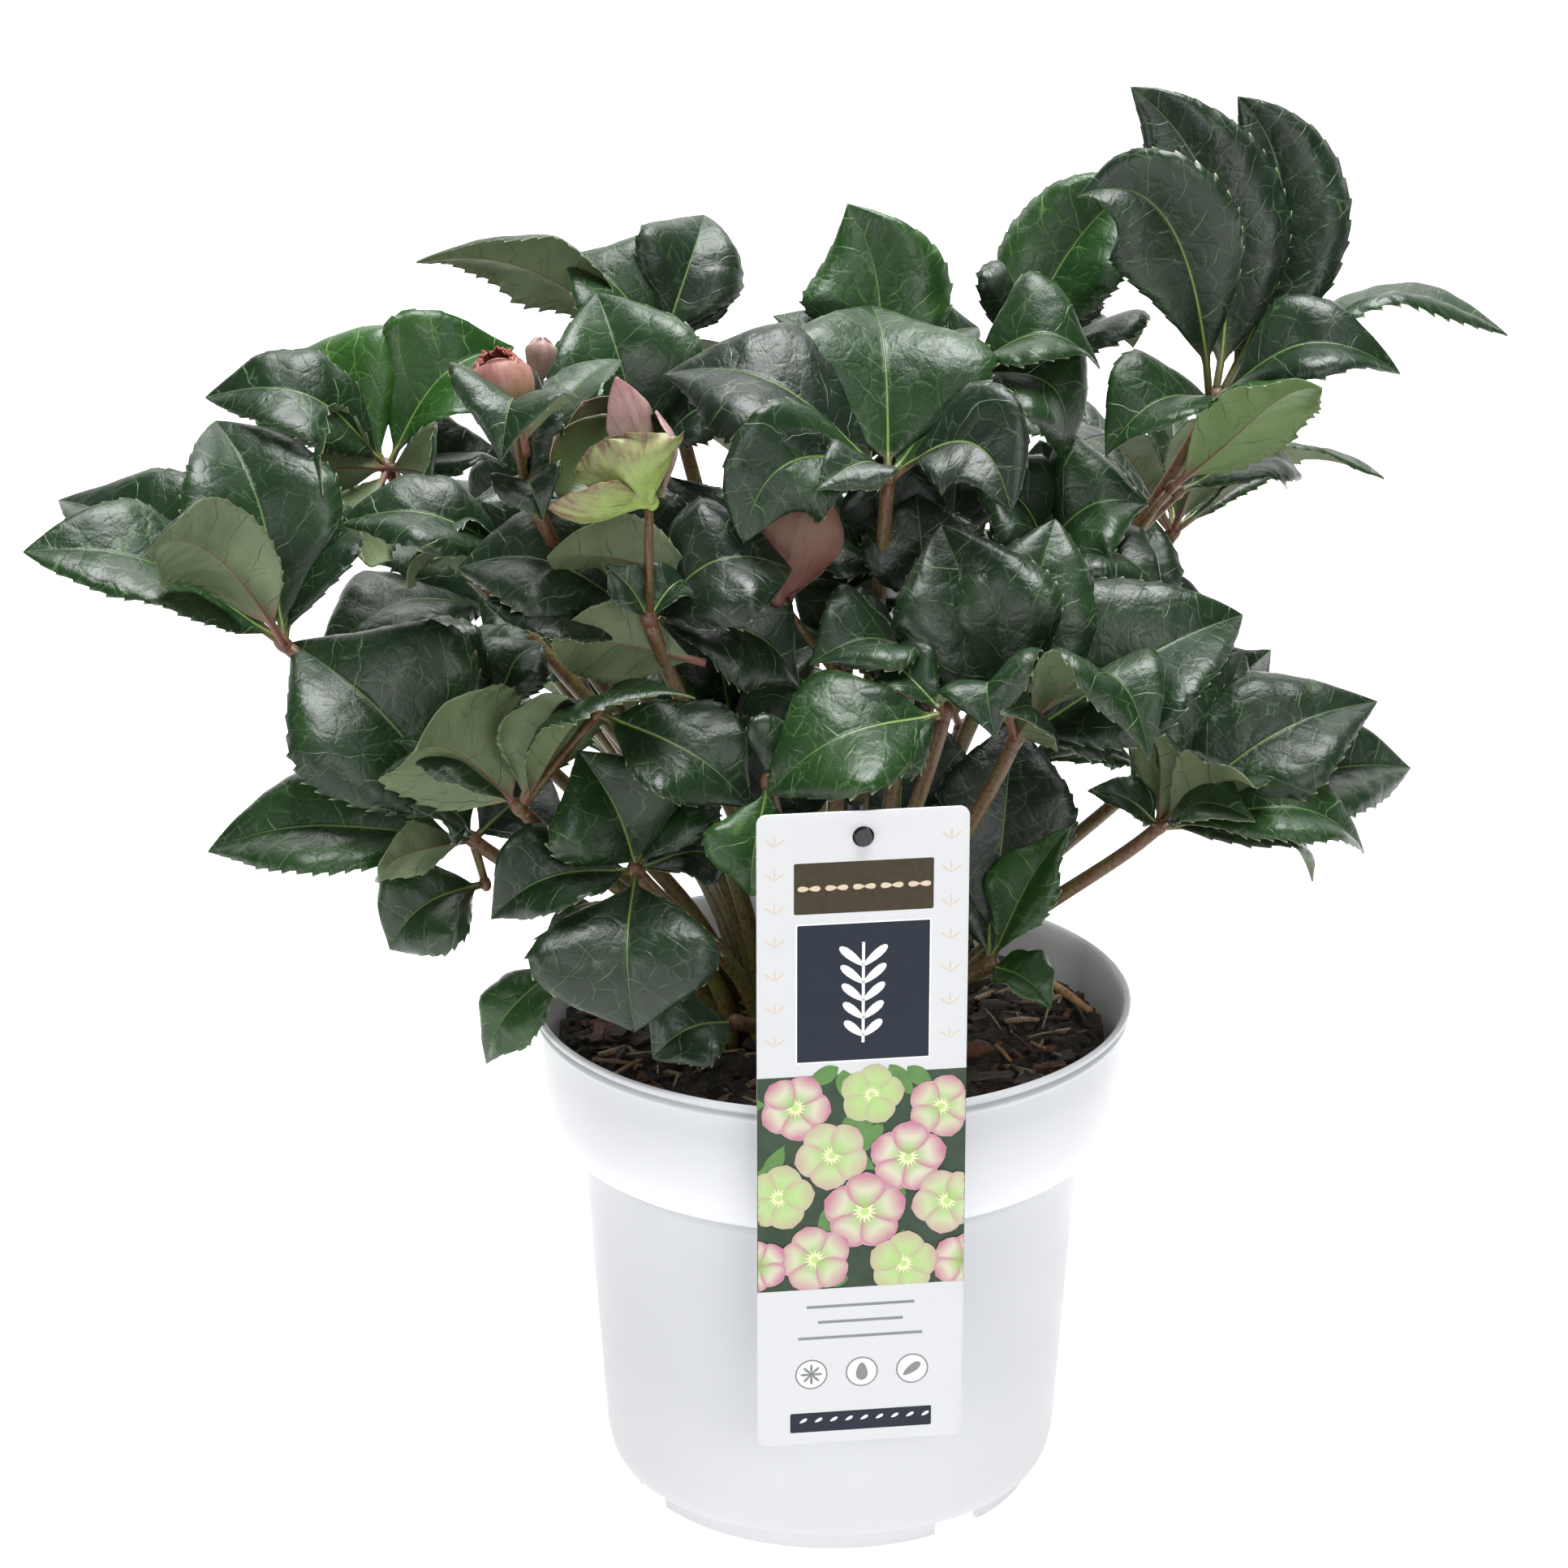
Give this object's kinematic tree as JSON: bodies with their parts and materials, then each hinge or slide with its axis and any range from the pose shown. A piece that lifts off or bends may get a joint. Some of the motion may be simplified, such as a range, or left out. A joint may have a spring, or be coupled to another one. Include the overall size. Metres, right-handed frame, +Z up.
{
  "type": "potted hellebore",
  "caption": "Potted hellebore: toothed leathery leaflets in whorls on slender stems, a green bloom and pink buds, white pot with a collar, dark soil and a hanging card tag.",
  "frame": {"origin": "The middle of the pot's underside, on the surface that the pot stands on.", "axes": "+Z is up along the pot's axis. The front of the plant, where the tag hangs, faces -Y. +X is to the right when the plant is seen from its front."},
  "size_m": [0.4573, 0.2963, 0.4426],
  "materials": {
    "white_plastic": "satin",
    "dark_soil": "matte",
    "white_card": "satin",
    "dark_plastic": "satin",
    "leaf_green": "satin",
    "open_bloom_sepal": "satin",
    "large_bud_sepal": "satin",
    "small_bud_sepal": "satin",
    "shaded_bloom_sepal": "satin"
  },
  "bodies": {
    "root": {"pot": "white_plastic", "soil": "dark_soil", "tag": "white_card", "tag_stake": "dark_plastic", "right_centre": "leaf_green", "centre": "leaf_green", "left_low": "leaf_green", "left_centre": "leaf_green", "low_front": "leaf_green", "right_low": "leaf_green", "far_left": "leaf_green", "top_right": "leaf_green", "upper_left": "leaf_green", "middle_left": "leaf_green", "inner_left": "leaf_green", "front_bright": "leaf_green", "centre_back": "leaf_green", "inner_right": "leaf_green", "tall_right": "leaf_green", "behind_left": "leaf_green", "back_left": "leaf_green", "middle_right": "leaf_green", "middle_front": "leaf_green", "left_shade": "leaf_green", "rim_left": "leaf_green", "low_right": "leaf_green", "front_hanging": "leaf_green", "soil_leaf": "leaf_green", "core_left": "leaf_green", "core_right": "leaf_green", "shade_right": "leaf_green", "shade_left": "leaf_green", "bloom_stalk": "leaf_green", "bud_stalk": "leaf_green", "shaded_stalk": "leaf_green", "rear_left": "leaf_green", "rear_low_left": "leaf_green", "rear_centre": "leaf_green", "rear_low_right": "leaf_green", "rear_right": "leaf_green", "rear_side_right": "leaf_green", "open_bloom": "open_bloom_sepal", "large_bud": "large_bud_sepal", "small_bud": "small_bud_sepal", "shaded_bloom": "shaded_bloom_sepal"}
  },
  "joints": []
}
